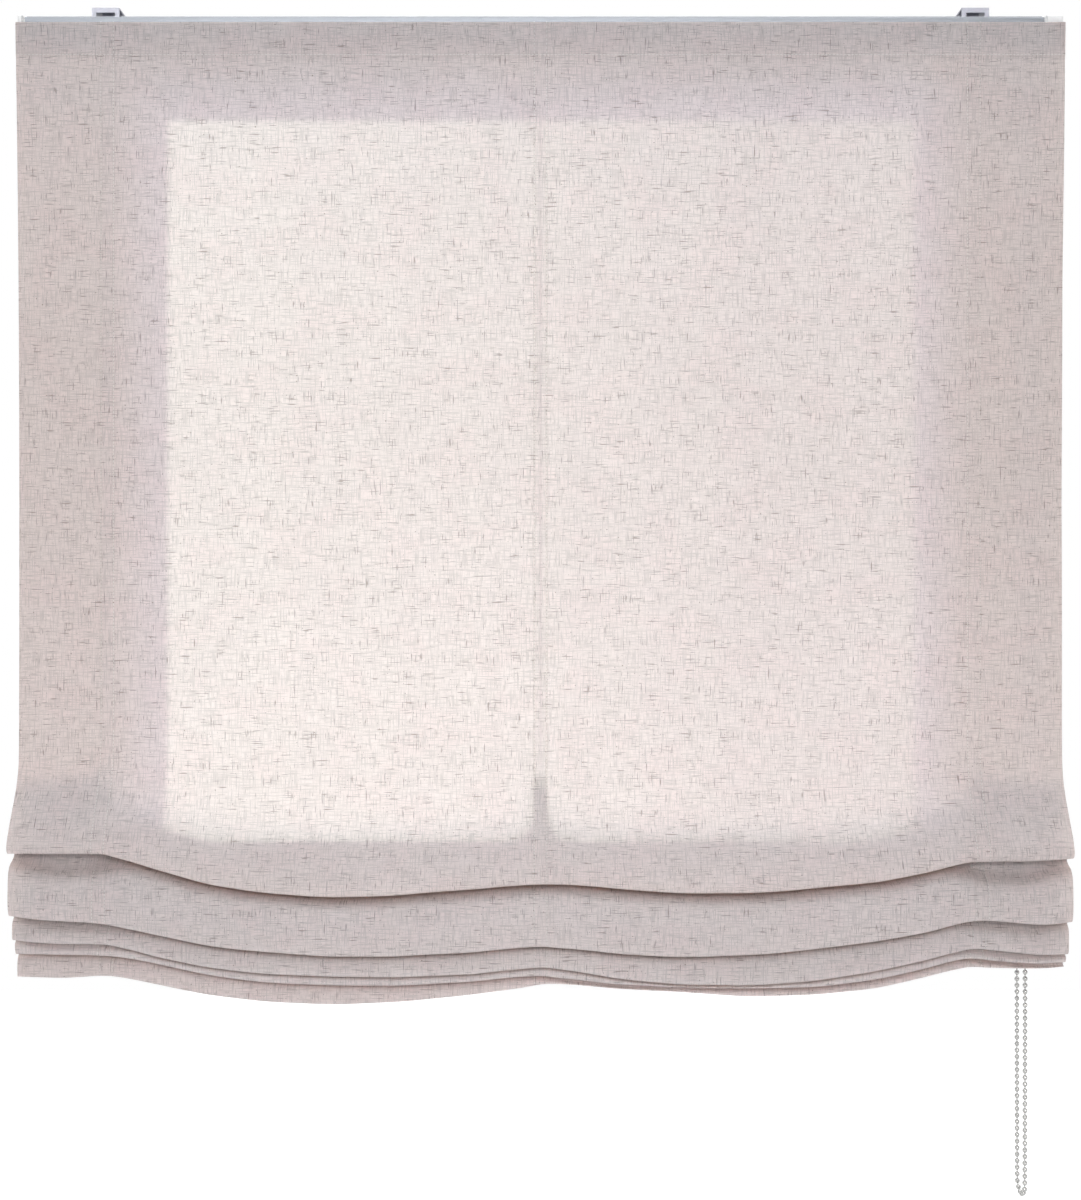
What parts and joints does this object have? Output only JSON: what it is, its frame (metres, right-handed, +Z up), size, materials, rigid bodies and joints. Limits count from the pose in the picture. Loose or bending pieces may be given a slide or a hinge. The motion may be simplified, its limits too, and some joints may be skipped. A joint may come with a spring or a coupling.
{
  "type": "roman blind",
  "caption": "Rodless roman blind, partly raised, with clip brackets, a headrail with cord drums, a folded cloth stack and a metal ball chain drive.",
  "frame": {"origin": "on the ceiling plane, midway between the two bracket screw holes", "axes": "+X to the right seen from the room, +Y towards the window, +Z up"},
  "size_m": [0.95, 0.0824, 1.0847],
  "materials": {
    "rail_aluminium": "satin anodised",
    "cap_plastic": "fine matt moulding",
    "mechanism_plastic": "fine matt moulding",
    "wheel_plastic": "matt moulding",
    "drum_plastic": "matt moulding",
    "lift_cord": "braided cord",
    "shaft_steel": "drawn bar",
    "spring_steel": "wound wire",
    "bracket_steel": "pale grey paint",
    "lever_steel": "pale grey paint",
    "shade_cloth": "linen look weave with short dark slubs",
    "ring_tape": "woven tape",
    "ring_plastic": "moulded",
    "hook_tape": "hook tape",
    "loop_tape": "loop tape",
    "chain_metal": "bright metal balls",
    "connector_plastic": "moulded"
  },
  "bodies": {
    "headrail_set": {"ball_chain": "chain_metal", "bracket_rivet_left": "bracket_steel", "bracket_rivet_right": "bracket_steel", "ceiling_bracket_left": "bracket_steel", "ceiling_bracket_right": "bracket_steel", "chain_connector": "connector_plastic", "drive_cover": "mechanism_plastic", "drive_housing": "cap_plastic", "drum_cradle_centre": "mechanism_plastic", "drum_cradle_left": "mechanism_plastic", "drum_cradle_right": "mechanism_plastic", "end_cap_left": "cap_plastic", "headrail": "rail_aluminium", "hook_strip": "hook_tape", "lift_cord_centre": "lift_cord", "lift_cord_left": "lift_cord", "lift_cord_right": "lift_cord", "loop_strip": "loop_tape", "ring_row_6": "ring_plastic", "ring_tape_drop_centre": "ring_tape", "ring_tape_drop_left": "ring_tape", "ring_tape_drop_right": "ring_tape", "ring_tape_head_centre": "ring_tape", "ring_tape_head_left": "ring_tape", "ring_tape_head_right": "ring_tape", "shade_drop": "shade_cloth", "shade_head": "shade_cloth"},
    "lever_left": {"bracket_lever_left": "lever_steel"},
    "lever_right": {"bracket_lever_right": "lever_steel"},
    "drive_line": {"drive_shaft": "shaft_steel", "shaft_end_bush": "mechanism_plastic", "drive_hub": "mechanism_plastic", "chain_wheel": "wheel_plastic", "wrap_spring": "spring_steel", "cord_drum_left": "drum_plastic", "cord_drum_centre": "drum_plastic", "cord_drum_right": "drum_plastic", "cord_winding_left": "lift_cord", "cord_winding_centre": "lift_cord", "cord_winding_right": "lift_cord"},
    "row_5": {"ring_row_5": "ring_plastic"},
    "row_4": {"ring_row_4": "ring_plastic"},
    "stack": {"shade_stack": "shade_cloth", "ring_tape_stack_left": "ring_tape", "ring_tape_stack_centre": "ring_tape", "ring_tape_stack_right": "ring_tape", "cord_lock_left": "ring_plastic", "cord_lock_centre": "ring_plastic", "cord_lock_right": "ring_plastic", "ring_row_0": "ring_plastic", "ring_row_1": "ring_plastic", "ring_row_2": "ring_plastic", "ring_row_3": "ring_plastic"}
  },
  "joints": [
    {"name": "lift", "type": "slide", "parent": "headrail_set", "child": "stack", "axis": [0, 0, 1], "range_m": [0, 0.52], "deforming": ["shade_drop", "ring_tape_drop_left", "ring_tape_drop_centre", "ring_tape_drop_right", "lift_cord_left", "lift_cord_centre", "lift_cord_right"]},
    {"name": "climb_row_4", "type": "slide", "parent": "headrail_set", "child": "row_4", "axis": [0, 0, 1], "range_m": [0, 0.4591]},
    {"name": "climb_row_5", "type": "slide", "parent": "headrail_set", "child": "row_5", "axis": [0, 0, 1], "range_m": [0, 0.2286]},
    {"name": "shaft_turn", "type": "hinge", "parent": "headrail_set", "child": "drive_line", "pos_m": [0, 0, -0.02918], "axis": [-1, 0, 0], "range_deg": [0, 3335]},
    {"name": "lever_swing_left", "type": "hinge", "parent": "headrail_set", "child": "lever_left", "pos_m": [-0.3875, 0, -0.0083], "axis": [0, 0, 1], "range_deg": [-40, 0]},
    {"name": "lever_swing_right", "type": "hinge", "parent": "headrail_set", "child": "lever_right", "pos_m": [0.3875, 0, -0.0083], "axis": [0, 0, 1], "range_deg": [0, 40]}
  ],
  "couplings": [
    {"joint": "climb_row_4", "follows": "lift", "ratio": 0.879},
    {"joint": "climb_row_5", "follows": "lift", "ratio": 0.4358},
    {"joint": "shaft_turn", "follows": "lift", "rad_per_m": 111.73}
  ]
}
